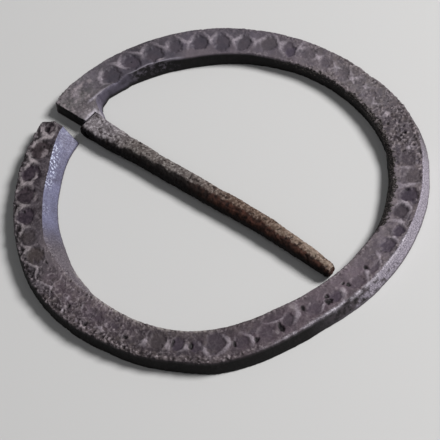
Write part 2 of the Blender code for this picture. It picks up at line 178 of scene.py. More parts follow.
# Ridges between the cells: (half width, strength, azimuth and radius of the brightest point, then each arm
# that runs out from it, as steps in azimuth and radius from that point to each of the arm's own).
RIDGES = (
    (0.42, 0.45, 178.2, 28.3, (2.4, -0.9), (-3.4, 1.2)),
    (0.2, 0.95, 172, 25.82, (2.6, 0.03, 5.4, -0.12), (-3.4, -0.22)),
    (0.26, 1, 168.6, 28.1, (-1.4, 0.8, -2.7, 1.3), (1.1, -1, 0.6, -1.6, -0.9, -1.9)),
    (0.24, 1, 161.5, 28.2, (0.6, 0.7, 2.3, 1.3), (-1.3, 0.8, -2.9, 1.7), (-0.9, -0.8, -2.6, -1.4)),
    (0.24, 0.8, 153.4, 28.5, (1.6, 0.7, 3.6, 1.6), (-1.7, 0.9, -3.2, 1.6), (0.1, -1.2)),
    (0.15, 0.6, 148.6, 26, (1.8, 0.1), (-2, -0.1)),
    (0.24, 0.75, 145.5, 27.9, (1.7, 0.7, 3.5, 2), (-1.8, 1.4), (0.1, -0.7)),
    (0.24, 1, 138.4, 27.6, (1.3, 0.9, 2.8, 2), (-1.2, 0.8, -2.6, 2), (0.4, -1)),
    (0.25, 1, 131, 27.7, (-0.8, 0.7, -2.3, 1.5), (0.8, 0.8, 2.3, 1.7), (0, -0.9)),
    (0.26, 0.9, 123.6, 27.3, (1, 0.7, 3, 1.7), (-1.3, 0.6, -2.7, 1.4), (-0.3, -0.7, -0.8, -1.4)),
    (0.26, 0.85, 116.3, 27.1, (1.2, 0.6, 2.9, 1.4), (-1.5, 0.9, -3.6, 2), (0.5, -1)),
    (0.25, 0.95, 108.4, 27.4, (1.6, 1, 3.4, 2), (-0.8, 0.6, -2.4, 1.4), (-0.9, -1, -3.2, -1.8)),
    (0.23, 0.9, 101.9, 27.6, (-0.1, 0.8, -0.6, 1.7), (-1.3, 0.4, -2.5, 0.8), (0.2, -1.2)),
    (0.2, 1, 94.7, 27.3, (1.6, 0.6), (-1.2, 0.7), (-1.4, -0.6), (0.8, -0.9)),
    (0.19, 0.85, 87.3, 27.1, (1.9, 0.8), (-1.9, 0.5), (-0.6, -0.8), (1.3, -0.8)),
    (0.19, 1, 79.9, 27.1, (2.9, 1), (-2, 1.4), (-1.6, -0.4), (0.7, -0.9)),
    (0.19, 0.95, 74.4, 27.4, (2, -0.4), (-1.5, 0.9), (1.2, 0.8), (-0.9, -0.7)),
    (0.19, 0.9, 67.3, 26.6, (2.5, 0.9), (-2, 1.3), (-0.9, -0.5)),
    (0.2, 0.9, 61.7, 27.3, (1.3, 0.4), (-0.9, -0.6), (-0.5, 0.7)),
    (0.14, 0.7, 49.2, 29, (1.1, 0.3), (-1, -0.2)), (0.2, 0.95, 47, 28.7, (0.2, 0.7), (-0.1, -0.7)),
    (0.22, 0.75, 39.9, 27.8, (-0.3, 0.9), (0.2, -0.7, -0.9, -1.2)),
    (0.24, 1, 33.3, 28.3, (0.3, 0.7, 1.1, 1.4), (-0.1, -1, 1, -1.7), (-0.1, -1, -1.7, -1.6)),
    (0.22, 1, 26.8, 28.2, (-1.2, 0.7, -2.8, 0.9, -4.2, 0.5), (0.4, -0.6, -0.1, -1.2, -1.3, -1.6)),
    (0.23, 0.9, 20.1, 28, (-0.6, 0.6, -2.1, 1.1), (-0.2, -1.1, -1.1, -1.8)),
    (0.24, 1, 14.2, 28.3, (-0.4, 0.5, -1.5, 0.9), (-0.7, -0.8)),
    (0.18, 0.85, 7.2, 27.6, (-2, 0.8, -4.6, 1.4, -7, 1.8), (1, -0.8)),
    (0.2, 0.9, 0.2, 27.9, (-1.5, 0.7, -2.9, 1.3), (0.8, -0.8)),
    (0.27, 0.8, -8.9, 27.5, (-0.9, 0.6, -3.5, 1.4), (-0.1, -0.8)),
    (0.15, 0.75, -16.5, 27.5, (-1.8, 0.7), (1.4, -0.5)),
    (0.27, 0.75, -24, 26.6, (-1.5, 0.7, -2.9, 1.2), (0.7, -1, 1.1, -1.9)),
    (0.13, 0.6, -31, 26.45, (2.2, -0.25, 4, -0.75), (-2.6, -0.15, -4.5, -0.75)),
    (0.25, 0.8, -38.8, 28.2, (-0.6, 0.9), (-1, -0.9, -3.3, -1.7)),
    (0.26, 0.85, -45.5, 28.1, (-1.2, 0.8, -3.7, 1.8), (-0.1, -0.8, -2.2, -1.8)),
    (0.22, 0.75, -52.3, 28.7, (0.8, 0.7, 1.5, 1.7), (-2.1, -1.4)),
    (0.25, 0.72, -57.6, 28.3, (-2, 0.9), (0.7, 0.6), (0.2, -0.9)),
    (0.26, 0.62, -63, 28.2, (0.6, 0.8), (-0.2, -0.9)),
    (0.24, 0.7, -69.5, 28.3, (0.5, 0.8), (-1.3, 0.9), (0.1, -0.8)),
    (0.16, 0.8, -83.3, 28.6, (1.1, 0.6), (-1.6, 0.3)), (0.15, 0.75, -90.7, 29.5, (0.7, 0.3), (-0.8, -0.3)),
    (0.14, 0.7, -92.6, 27.3, (0.6, 0.3), (-0.7, -0.4)), (0.14, 0.75, -96.2, 29.4, (0.7, 0.4), (-0.8, -0.3)),
    (0.2, 0.75, -98.1, 27.8, (0.1, 0.5), (-0.2, -0.6)),
    (0.15, 0.95, -104.8, 28.3, (2.2, 1), (-2.5, 0.6, -4.5, 1), (-0.1, -0.5)),
    (0.15, 0.82, -113.1, 28.2, (1.4, 0.6, 2.8, 1.1), (-1.6, 0.6, -3.8, 1.2)),
    (0.19, 0.62, -121, 28.4, (1.2, 0.7, 3, 1.6), (-1.4, 0.5, -3.6, 1), (-0.2, -1)),
    (0.2, 0.6, -128.9, 28, (1.3, 0.6, 2.9, 1.1), (-1.5, 0.6, -3.5, 1.2), (0.4, -1.1)),
    (0.22, 0.72, -136.9, 28, (1.3, 0.8, 3.1, 1.3), (-1.4, 0.7, -3.1, 1.2), (0, -1)),
    (0.28, 0.85, -145.3, 28.3, (1.3, 0.5, 2.9, 1), (-1.4, 0.5, -3.3, 1),
     (-0.1, -1.1, -2.3, -1.4, -4, -1.7), (0, -1.1, 1.5, -1.4)),
    (0.28, 1, -154.2, 27.9, (2.1, 0.6, 4, 1.2), (-1.1, 0.6, -3.3, 1.3), (0.9, -1.2)),
    (0.29, 1, -163.8, 27.6, (2.2, 0.9, 4.6, 1.3), (-2.1, 1.1, -4.2, 1.8),
     (-0.2, -0.7), (-0.3, -0.6, -3.6, -0.7, -5.9, 0)),
)

# How far the dark band of dirt and wear, deepened with painted shade, reaches in from the inner edge:
# {azimuth: millimetres}.
WORN_REACH = {
    110: -0.1, 98: 0.05, 82: 0.15, 75: 0.4, 66: 0.6, 60: 0.7, 52: 0.75, 45: 0.9, 38: 1.05, 28: 1.2, 21: 1,
    15: 0.5, 10: -0.1,
}

# Gritty stretches of the band, pale crust, and the metal's brightness: {azimuth: share}.
GRIT = {
    184: 0.8, 174: 0.45, 168: 0.12, 120: 0.15, 98: 0.3, 70: 0.5, 63: 0.95, 50: 1, 44: 0.6, 30: 0.4, 0: 0.3,
    -20: 0.2, -60: 0.25, -76: 0.4, -84: 0.6, -100: 0.7, -106: 0.5, -118: 0.35, -170: 0.4,
}
SANDY = {
    184: 0.1, 172: 0.05, 100: 0.1, 88: 0.35, 66: 0.4, 50: 0.35, 40: 0.35, 10: 0.3, -10: 0.1, -50: 0.2,
    -75: 0.35, -95: 0.3, -105: 0.25, -112: 0.1, -170: 0.05,
}
TONE = {
    172: 0.84, 167: 0.66, 150: 0.57, 142: 0.72, 130: 0.76, 118: 0.74, 105: 0.8, 98: 0.88, 90: 0.84,
    66: 0.76, 62: 0.46, 50: 0.42, 45: 0.56, 38: 0.7, 20: 0.69, 0: 0.75, -10: 0.62, -20: 0.55, -30: 0.52,
    -38: 0.4, -50: 0.35, -64: 0.29, -71: 0.24, -80: 0.37, -90: 0.5, -100: 0.43, -108: 0.52, -114: 0.44,
    -120: 0.38, -126: 0.38, -131: 0.25, -138: 0.2, -150: 0.18, -160: 0.22, -170: 0.26,
}
# How much darker the band is towards its outer edge than in its middle.
OUTER_DARK = {
    168: -0.2, 160: 0.05, 150: 0.2, 140: 0.05, 100: 0.08, 80: 0.18, 60: 0.08, 45: 0, 0: 0.05, -10: 0.28,
    -20: -0.02, -40: -0.12, -50: 0.05, -65: 0.15, -78: 0.28, -90: 0.35, -112: 0.42, -125: 0.54, -140: 0.78,
    -150: 0.55, -160: 0.35, -170: 0.25,
}
# How dark, and how pale, the field between the cells and the inner edge is.
INNER_DARK = {169: 0, 166: 0.7, 150: 0.8, 143: 0.5, 139: 0, -122: 0, -128: 0.3, -134: 0.85, -170: 1}
INNER_PALE = {
    184: 0.1, 172: 0.2, 168: 0, 144: 0, 139: 0.7, 128: 0.5, 116: 0.25, 108: 0, 100: 0.15, 62: 0, 45: 0,
    38: 0.2, 22: 0.2, 12: 0.3, 0: 0.4, -12: 0.2, -45: 0, -95: 0.1, -105: 0.4, -120: 0.5, -128: 0,
}
# How olive the band is, and how creased.
OLIVE = {
    184: 0.95, 174: 0.9, 167: 0.5, 160: 0.2, 110: 0.1, 95: 0.3, 80: 0.6, 66: 0.5, 60: 0, -40: 0, -58: 0.25,
    -70: 0.05, -100: 0.1, -114: 0.4, -120: 0.2, -130: 0, -148: 0.1, -156: 0.3, -170: 0.2,
}
CREASED = {
    184: 0.7, 174: 0.45, 160: 0.1, 112: 0.15, 98: 0.5, 76: 0.6, 62: 0.5, 48: 0.4, 30: 0.3, 0: 0.35,
    -20: 0.3, -45: 0.35, -68: 0.55, -84: 0.95, -104: 0.95, -116: 0.6, -125: 0.35, -170: 0.3,
}
# Bluish glints along the bevel's upper edge.
GLINTS = {
    -130: 0, -134: 0.15, -136: 0.25, -138: 0.05, -143.5: 0.1, -145: 0.65, -149: 0.5, -151: 0.8, -154: 0.9,
    -159: 0.9, -162: 0.45, -164: 0.15, -170: 0.1,
}

# Pits: (azimuth, radius, half length, half width, depth).
PITS = (
    (157.5, 27.9, 0.17, 0.17, 0.1), (60.3, 26, 0.2, 0.3, 0.2), (58, 27, 0.3, 0.2, 0.2),
    (55.2, 29, 0.24, 0.22, 0.22), (52.8, 28.8, 0.28, 0.25, 0.24), (52.2, 28.1, 0.24, 0.22, 0.22),
    (46.3, 27.9, 0.14, 0.45, 0.2), (31.8, 28, 0.16, 0.4, 0.14), (13.4, 27.9, 0.14, 0.17, 0.14),
    (8.7, 28, 0.2, 0.22, 0.18), (8.7, 27.5, 0.17, 0.2, 0.14), (1.2, 27.4, 0.38, 0.7, 0.22),
    (-6.4, 27.1, 0.34, 0.4, 0.18), (-7, 26.5, 0.32, 0.26, 0.14), (-13.8, 26.6, 0.42, 0.42, 0.24),
    (-14.3, 27.4, 0.58, 0.7, 0.3), (-21.9, 26.2, 0.42, 0.6, 0.12), (-30.2, 27.5, 0.44, 0.85, 0.3),
    (-37.8, 28.3, 0.42, 0.68, 0.32), (-44.2, 28.1, 0.4, 0.6, 0.28), (-56.2, 28, 0.28, 0.6, 0.24),
    (-61.6, 27.8, 0.18, 0.9, 0.14), (-75.4, 28.5, 0.45, 0.26, 0.2), (-87.8, 29.2, 0.22, 0.45, 0.2),
    (-90, 29.1, 0.25, 0.2, 0.16), (-95.8, 28.5, 0.2, 0.5, 0.2), (-103.5, 28.7, 0.3, 0.15, 0.16),
    (-113.3, 26.8, 0.5, 0.14, 0.12), (-134.8, 27.9, 0.18, 0.35, 0.16), (-147, 27.8, 0.15, 0.4, 0.14),
    (-155.6, 28.2, 0.2, 0.35, 0.16), (-160.3, 27.3, 0.2, 0.3, 0.14), (-166.9, 28.3, 0.5, 0.4, 0.3),
)

# Dark purple hollows, and pale patches: (azimuth, radius, half length, half width, strength).
HOLLOWS = (
    (183.6, 27.6, 0.35, 0.5, 0.35), (181.6, 28.6, 0.5, 0.6, 0.35), (180.6, 29, 0.7, 0.3, 0.4),
    (179, 26.3, 0.8, 0.5, 0.35), (177.8, 26.8, 0.9, 0.35, 0.4), (175.2, 28, 0.5, 0.6, 0.3),
    (173.3, 28.4, 0.4, 0.7, 0.3), (171.5, 26.6, 0.6, 0.4, 0.3), (60.7, 27.3, 0.4, 0.5, 0.7),
    (57.5, 28.3, 0.6, 0.6, 0.5), (53.5, 28.4, 0.7, 0.8, 0.5), (42, 29.6, 1.1, 0.3, 0.9),
    (42, 26.6, 0.6, 0.32, 0.75), (31, 28.1, 0.6, 0.9, 0.5), (26.9, 29.4, 1.1, 0.5, 0.8),
    (20.8, 29.25, 1.2, 0.32, 0.85), (15.5, 29.3, 0.5, 0.3, 0.7), (9, 29, 0.9, 0.45, 0.6),
    (-38.3, 26.9, 0.8, 0.4, 0.6), (-49.8, 29.6, 0.3, 0.45, 0.7), (-58.4, 29.3, 1.2, 0.5, 0.3),
    (-85.5, 29.3, 0.5, 0.3, 0.5), (-88.5, 29.2, 0.5, 0.35, 0.6), (-95.8, 28.3, 0.28, 0.9, 0.6),
    (-105.5, 27.8, 0.7, 0.28, 0.6), (-111.5, 28.3, 0.6, 0.22, 0.6), (-115.6, 28.15, 0.75, 0.22, 0.7),
    (-123.5, 28.9, 0.7, 0.2, 0.6), (-127, 29.4, 0.9, 0.25, 0.5), (-131.6, 28.8, 0.7, 0.22, 0.6),
    (-137, 29.2, 0.7, 0.2, 0.6), (-143.9, 29.4, 0.6, 0.2, 0.6), (-146, 29.4, 0.6, 0.18, 0.7),
)
BLOTCHES = (
    (184.1, 27.7, 0.35, 0.5, 0.8), (184, 26.6, 0.3, 0.35, 0.7), (183, 28.5, 0.4, 0.25, 0.6),
    (182.5, 24.2, 1.2, 0.5, 0.3), (181.3, 24.2, 0.5, 0.25, 0.9), (181, 25, 0.9, 0.4, 0.35),
    (180.2, 27.5, 0.5, 0.28, 0.7), (178.8, 27.4, 0.45, 0.2, 0.5), (178.6, 28.5, 0.8, 0.32, 0.75),
    (177.5, 28.4, 0.9, 0.35, 0.25), (176.4, 26.7, 0.6, 0.28, 0.75), (176, 29.1, 1.2, 0.38, 0.85),
    (175.9, 27.3, 0.3, 0.25, 0.5), (173.5, 29.3, 0.5, 0.25, 0.5), (171.6, 28.9, 0.4, 0.5, 0.7),
    (148.4, 25.9, 0.6, 0.3, 0.7), (98, 28.9, 1, 0.3, 0.2), (90.3, 28.9, 0.25, 0.2, 0.8),
    (61.7, 27.4, 0.45, 0.45, 0.7), (37, 26.6, 2.2, 0.45, 0.3), (28.5, 26.5, 1.4, 0.4, 0.3),
    (20.2, 26.5, 0.5, 0.6, 0.4), (14.5, 26.6, 1.8, 0.7, 0.25), (-8.9, 27.4, 0.42, 0.6, 0.7),
    (-9.7, 26.4, 0.35, 0.35, 0.6), (-24.2, 25.3, 0.5, 0.9, 0.7), (-31.7, 28, 0.28, 0.45, 0.8),
    (-57.8, 28.1, 0.4, 0.5, 0.5), (-63, 28.2, 0.5, 0.9, 0.4), (-69.6, 28.3, 0.4, 0.6, 0.5),
    (-78, 27, 0.2, 0.25, 1), (-79.7, 27.9, 0.17, 0.17, 1), (-87, 25.5, 0.6, 0.25, 0.6),
    (-91, 25.2, 0.5, 0.25, 0.7), (-95.5, 25, 0.5, 0.22, 0.6), (-100, 25.2, 0.8, 0.28, 0.6),
    (-118.4, 29.6, 0.4, 0.3, 0.4), (-139.9, 26.3, 0.9, 0.35, 0.5), (-148.5, 26.8, 0.8, 0.22, 0.6),
    (-157.6, 26.6, 0.9, 0.5, 0.75), (-160.3, 28.9, 0.6, 0.35, 0.6), (-167.6, 27.6, 0.5, 0.3, 0.4),
)

# Pin: (distance from the hinge axis, middle, half width, half height, squareness).
PIN_SECTIONS = (
    (0, -1.66, 1.74, 1.25, 9), (0.6, -1.66, 1.74, 1.24, 8.5), (1.05, -1.67, 1.74, 1.1, 7.5),
    (1.6, -1.7, 1.74, 1.13, 5.5), (2.6, -1.75, 1.78, 1.2, 4), (4, -1.78, 1.82, 1.24, 3.1),
    (7, -1.73, 1.7, 1.26, 2.6), (10, -1.68, 1.56, 1.28, 2.6), (14, -1.67, 1.49, 1.28, 2.6),
    (22, -1.52, 1.47, 1.28, 2.6), (28, -1.33, 1.45, 1.28, 2.6), (33, -1.32, 1.38, 1.26, 2.6),
    (37, -1.5, 1.27, 1.24, 2.6), (41, -1.74, 1.22, 1.2, 2.5), (43.8, -2, 1.1, 1.12, 2.4),
    (45.1, -2.12, 1.06, 1.04, 2.4), (45.65, -2.17, 0.84, 0.8, 2.4),
)
# Where the lit top gives way to the painted shade on the flank, as a share of the half width.
PIN_BORDER = {-2: -0.85, 3: -0.75, 8: -0.45, 14: -0.25, 22: -0.15, 30: -0.15, 38: -0.2, 46: -0.3}
EYE_BACK = 1.3
EYE_POWER = 3.2
PIN_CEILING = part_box("pin")[1].z / MM - 0.01
PIN_STATIONS = 430
PIN_SIDES = 88

# Camera, from the ring's centre at its top, and its axes.
CAMERA_AT = (131.257, -110.845, 216.187)
CAMERA_FORWARD = (-0.46379, 0.39055, -0.79522)
CAMERA_UP = (-0.45583, 0.66448, 0.59219)
CAMERA_LENS = 156.03

# Noise: the slopes at its grid's corners, and the numbers that shuffle them.
SLOPES = np.array([
    (1, 1, 0), (-1, 1, 0), (1, -1, 0), (-1, -1, 0), (1, 0, 1), (-1, 0, 1), (1, 0, -1), (-1, 0, -1),
    (0, 1, 1), (0, -1, 1), (0, 1, -1), (0, -1, -1), (1, 1, 1), (-1, -1, 1), (1, -1, -1), (-1, 1, -1),
], float)
SHUFFLE = (73856093, 19349663, 83492791)
SEED_SHUFFLE = 2654435761
SHIFTS = ((15, 2246822519), (13, 3266489917))
WORD = 0xFFFFFFFF
LAYER_RATIO = 2.03


def clamp(value, low=0.0, high=1.0):
    return np.clip(value, low, high)


def smooth(low, high, value):
    share = clamp((value - low) / (high - low))
    return share * share * (3.0 - 2.0 * share)


def hump(value, width):
    """1 where the value is 0, falling off over this width on both sides."""
    return np.exp(-((value / width) ** 2))


def knots(value, table):
    """A value on the straight lines between a table's knots."""
    at, heights = zip(*sorted(table.items()))
    return np.interp(value, at, heights)


def waves(azimuth, table):
    return sum(height * np.cos(np.radians(count * azimuth - phase)) for count, height, phase in table)


def noise(points, size, seed):
    """Smooth noise from about -1 to 1 at points in millimetres, with lumps of this size."""
    turn = np.array(Matrix.Rotation(0.6 + 1.7 * seed, 3, "Z") @ Matrix.Rotation(0.9 + 0.7 * seed, 3, "X"))
    scaled = points @ turn.T / size + 100.0
    base = np.floor(scaled).astype(np.int64)
    inside = scaled - base
    share = inside * inside * inside * (inside * (inside * 6.0 - 15.0) + 10.0)
    total = np.zeros(points.shape[:-1])
    for corner in np.ndindex(2, 2, 2):
        x, y, z = np.moveaxis(base + corner, -1, 0)
        mixed = (x * SHUFFLE[0]) ^ (y * SHUFFLE[1]) ^ (z * SHUFFLE[2])
        mixed = (mixed ^ (seed * SEED_SHUFFLE)) & WORD
        for shift, factor in SHIFTS:
            mixed = ((mixed ^ (mixed >> shift)) * factor) & WORD
        slope = SLOPES[(mixed ^ (mixed >> 16)) & 15]
        weight = np.prod(np.where(corner, share, 1 - share), axis=-1)
        total += weight * np.sum(slope * (inside - corner), axis=-1)
    return clamp(1.35 * total, -1.0)


def layered(points, size, seed, layers=3, fall=0.55):
    """Noise on noise, each layer about half the size of the last and weaker by this factor."""
    total, weight, whole = 0.0, 1.0, 0.0
    for layer in range(layers):
        total = total + weight * noise(points, size / LAYER_RATIO**layer, seed + layer)
        whole += weight
        weight *= fall
    return total / whole


def plan_y(azimuth):
    return MIDDLE_RADIUS * np.sin(np.radians(azimuth))


def azimuth_at_y(y):
    return 180.0 + math.degrees(math.asin(-y / MIDDLE_RADIUS))


UPPER_END = azimuth_at_y(UPPER_END_Y)
LOWER_END = azimuth_at_y(LOWER_END_Y) - 360.0


def plane_turn(azimuth):
    """How far a station's section turns from its radius, so that both ends are cut square."""
    upper = (180.0 - azimuth) * smooth(*SQUARING_UPPER, azimuth)
    lower = (-180.0 - azimuth) * smooth(*SQUARING_LOWER, azimuth)
    return upper + lower


def ring_radius_at_x(azimuth, x):
    """The section radius at which a station's line crosses this x."""
    heading = np.radians(azimuth + plane_turn(azimuth))
    return MIDDLE_RADIUS + (x - MIDDLE_RADIUS * np.cos(np.radians(azimuth))) / np.cos(heading)


def outer_top(azimuth):
    radius = OUTER_RADIUS + waves(azimuth, OUTER_WAVES) + knots(azimuth, OUTER_SHIFT)
    radius = radius - UPPER_END_NIP[0] * smooth(UPPER_END_NIP[1], UPPER_END, azimuth)
    inward = 1 - (LOWER_END_Y - plan_y(azimuth)) / LOWER_END_CHIP[1]
    return radius - np.where(azimuth < SQUARING_LOWER[0], LOWER_END_CHIP[0] * clamp(inward), 0.0)


def outer_batter(azimuth):
    least, extra, middle, spread = OUTER_BATTER
    return least + extra * hump((azimuth - middle + 180.0) % 360.0 - 180.0, spread)


def inner_side(azimuth, share):
    """Radius and height down the inner side, from the top edge (0) to the foot (1)."""
    plain = INNER_RADIUS + waves(azimuth, INNER_WAVES)
    top, foot = plain + knots(azimuth, INNER_SHIFT), plain + knots(azimuth, FOOT_SHIFT)
    height = THICKNESS * (1 - share)
    radius = top + (foot - top) * clamp((share - 0.09) / 0.8)
    y = plan_y(azimuth)
    at, *columns = zip(*HINGE_SIDE)
    x_top, x_bevel, x_foot = (np.interp(y, at, column) for column in columns)
    x = x_top + (x_bevel - x_top) * clamp(share / HINGE_BEVEL)
    x = x + (x_foot - x_bevel) * clamp((share - HINGE_BEVEL) / (1 - HINGE_BEVEL))
    left = azimuth > 90.0
    near = smooth(*HINGE_SIDE_ENDS, y) * left
    radius = radius + near * (ring_radius_at_x(azimuth, x) - radius)
    hollow_height = THICKNESS + (HOLLOW_FOOT - THICKNESS) * share
    reach = np.sqrt(np.maximum(HOLLOW_RADIUS**2 - (hollow_height - HINGE_Z) ** 2, 0.0))
    in_hollow = (y < LUG_FACE_Y + LUG_STEP / 2) & left
    radius = np.where(in_hollow, ring_radius_at_x(azimuth, HINGE_X - reach), radius)
    return radius, np.where(in_hollow, hollow_height, height)


def ring_stations():
    plain = np.linspace(UPPER_END, LOWER_END, RING_STATIONS + 1)
    step = {azimuth_at_y(LUG_FACE_Y), azimuth_at_y(LUG_FACE_Y + LUG_STEP)}
    keep = {a for a in plain if min(abs(a - at) for at in step) > STATION_GAP or a in (plain[0], plain[-1])}
    return np.array(sorted(keep | step, reverse=True))


def ring_grid(azimuth):
    """Section points (radius, height) at each station, and the side of the section each lies on."""
    a = azimuth[:, None]
    outer = outer_top(a)
    foot = outer + outer_batter(a)
    quarter = np.linspace(0.0, math.pi / 2, 4)
    bend = list(zip(np.sin(quarter), 1 - np.cos(quarter)))
    grid = []

    def add(radius, height, side):
        grid.append((np.broadcast_to(radius, a.shape), np.broadcast_to(height, a.shape), side))

    for out, up in bend:
        add(foot - FOOT_ROUND * (1 - out), FOOT_ROUND * up, OUTER)
    for share in np.linspace(0, 1, 6)[1:-1]:
        height = FOOT_ROUND + (THICKNESS - FOOT_ROUND - OUTER_ROUND) * share
        add(foot + (outer - foot) * share, height, OUTER)
    for out, up in bend:
        add(outer - OUTER_ROUND * up, THICKNESS - OUTER_ROUND * (1 - out), OUTER)
    first = outer - OUTER_ROUND
    wear = knots(a, INNER_WEAR)
    last = inner_side(a, 0.0)[0] + (INNER_ROUND + wear)
    low = (INNER_ROUND + 0.6 * wear) / THICKNESS
    for share in np.linspace(0, 1, TOP_POINTS)[1:-1]:
        add(first + (last - first) * share, THICKNESS, TOP)
    start, start_height = inner_side(a, low)
    for out, up in bend:
        height = THICKNESS + (start_height - THICKNESS) * (1 - np.sqrt(1 - out * out))
        add(last + (start - last) * up, height, INNER)
    for share in np.linspace(0.0, 1.0, 9)[1:]:
        add(*inner_side(a, low + (1 - FOOT_ROUND / THICKNESS - low) * share), INNER)
    end, end_height = inner_side(a, 1 - FOOT_ROUND / THICKNESS)
    add(end + FOOT_ROUND * 0.3, end_height * 0.3, INNER)
    add(end + FOOT_ROUND, 0.0, INNER)
    for share in (0.2, 0.4, 0.6, 0.8):
        add(end + FOOT_ROUND + (foot - 2 * FOOT_ROUND - end) * share, 0.0, UNDER)
    radii, heights, sides = zip(*grid)
    return np.hstack(radii), np.hstack(heights), np.array(sides)


def ring_points(azimuth, radius, height):
    a = azimuth[:, None]
    middle = np.radians(a)
    heading = np.radians(a + plane_turn(a))
    reach = radius - MIDDLE_RADIUS
    x = MIDDLE_RADIUS * np.cos(middle) + reach * np.cos(heading)
    y = MIDDLE_RADIUS * np.sin(middle) + reach * np.sin(heading)
    return np.stack([x, y, height], axis=-1)


def grid_normals(points):
    """Outward normals of a tube of closed sections."""
    along = np.gradient(points, axis=0)
    around = np.roll(points, -1, axis=1) - np.roll(points, 1, axis=1)
    normal = np.cross(along, around)
    normal = normal / np.maximum(np.linalg.norm(normal, axis=-1, keepdims=True), 1e-9)
    outward = points - points.mean(axis=1, keepdims=True)
    return normal if np.mean(np.sum(normal * outward, axis=-1)) > 0 else -normal


class Band:
    """Where the ring's vertices lie, as arrays, and ways to ask about them."""

    def __init__(self, points, sides):
        self.points = points
        self.x, self.y, self.z = np.moveaxis(points, -1, 0)
        self.radius = np.hypot(self.x, self.y)
        azimuth = np.degrees(np.arctan2(self.y, self.x))
        lug = (azimuth < -171.5) | ((self.x < 0) & (self.y < 0) & (self.y > -3.5))
        self.azimuth = np.where(lug, azimuth + 360.0, azimuth)
        self.outer, self.inner, self.under = (
            (sides == side) * np.ones(self.x.shape) for side in (OUTER, INNER, UNDER))
        self.top = (1 - self.under) * smooth(THICKNESS - 0.34, THICKNESS - 0.05, self.z)
        self.from_outer = self.radius - outer_top(self.azimuth)
        rim = INNER_RADIUS + waves(self.azimuth, INNER_WAVES) + self.along(INNER_SHIFT)
        self.from_inner = self.radius - rim
        self.ragged = 0.3 * noise(points, 0.6, 17) + 0.18 * noise(points, 0.3, 18)
        # Wavering places, so that what is drawn on the band has no ruled edges.
        self.turn = self.azimuth + 0.24 * noise(points, 1.0, 5) + 0.1 * noise(points, 0.4, 6)
        self.reach = self.radius + 0.11 * noise(points, 1.0, 8) + 0.05 * noise(points, 0.4, 9)

    def past(self, low, high):
        """0 before one azimuth and 1 beyond the other."""
        return smooth(low, high, self.azimuth)

    def along(self, table):
        return knots(self.azimuth, table)

    def lumps(self, *settings):
        return layered(self.points, *settings)

    def nearer(self, low, high, raggedness):
        """0 before one radius and 1 beyond the other, with a ragged border."""
        return smooth(low, high, self.radius + raggedness * self.ragged)


def punched(p):
    """The cells at each point: how far inside, how deep, and their hue."""
    inside, dish, hue = np.zeros(p.x.shape), np.zeros(p.x.shape), np.zeros(p.x.shape)
    for middle, row, long, wide, strength, tint in CELLS:
        near = np.abs(p.turn - middle) < CELL_SEARCH
        along = np.radians(p.turn[near] - middle) * row
        across = p.reach[near] - row
        across = np.where(across < 0, across * (1 - 0.32 * knots(middle, INNER_DARK)), across)
        far = np.abs(along / long) ** CELL_POWER + np.abs(across / wide) ** CELL_POWER
        far = far ** (1 / CELL_POWER) + 0.55 * p.ragged[near]
        share = (1 - smooth(0.42 + 0.38 * strength, 1.2 - 0.12 * strength, far)) * strength
        hue[near] = np.where(share > inside[near], tint, hue[near])
        inside[near] = np.maximum(inside[near], share)
        depth = (1 - smooth(0.68, 1.05, far)) * min(1.0, 0.35 + 0.7 * strength)
        dish[near] = np.maximum(dish[near], depth)
    return inside, dish, hue


def ridge_arm(x, y, rough, path, width):
    """One arm of a ridge, thinner and fainter towards its end."""
    steps = np.hypot(*np.diff(path, axis=0).T)
    value, done = np.zeros(x.shape), 0.0
    for start, end, step in zip(path, path[1:], steps):
        run = end - start
        share = clamp(((x - start[0]) * run[0] + (y - start[1]) * run[1]) / step**2)
        gone = (done + share * step) / steps.sum()
        far = np.hypot(x - start[0] - share * run[0], y - start[1] - share * run[1])
        far = far / (width * (1.35 - 0.55 * gone))
        value = np.maximum(value, (1 - 0.78 * gone) * (1 - smooth(0.4, 1.4, far + rough)))
        done += step
    return value


def ridged(p):
    """How strongly each point lies on a ridge between cells, 1 at its brightest."""
    best = np.zeros(p.x.shape)
    for width, strength, turn, reach, *arms in RIDGES:
        for arm in arms:
            path = np.array((0, 0, *arm), float).reshape(-1, 2) + (turn, reach)
            near = (p.turn > path[:, 0].min() - ARM_SEARCH) & (p.turn < path[:, 0].max() + ARM_SEARCH)
            path[:, 0] = np.radians(path[:, 0]) * MIDDLE_RADIUS
            x = np.radians(p.turn[near]) * MIDDLE_RADIUS
            value = ridge_arm(x, p.reach[near], 1.3 * p.ragged[near], path, width)
            best[near] = np.maximum(best[near], strength * value)
    return best


def spotted(p, table, soft, raggedness=1.0, weighed=True):
    """Ragged ovals: the strongest at each point."""
    best = np.zeros(p.x.shape)
    for turn, reach, long, wide, strength in table:
        near = np.abs(p.turn - turn) < SPOT_SEARCH
        along = np.radians(p.turn[near] - turn) * reach / long
        far = np.hypot(along, (p.reach[near] - reach) / wide) + raggedness * p.ragged[near]
        share = (1 - smooth(0.45, soft, far)) * (strength if weighed else 1.0)
        best[near] = np.maximum(best[near], share)
    return best


def draw_cells(p, m):
    """Cells, and the ridges between them. Gives back how deep the dishes are."""
    m.cell, dish, hue = punched(p)
    m.rim = ridged(p) * p.top * clamp(0.86 + 0.55 * p.lumps(0.55, 121, 2, 0.8), 0.3)
    m.cell, dish = m.cell * p.top * (1 - 0.9 * m.rim), dish * p.top * (1 - 0.9 * m.rim)
    m.purple, m.brown = clamp(hue) * m.cell, clamp(-hue) * m.cell
    return dish


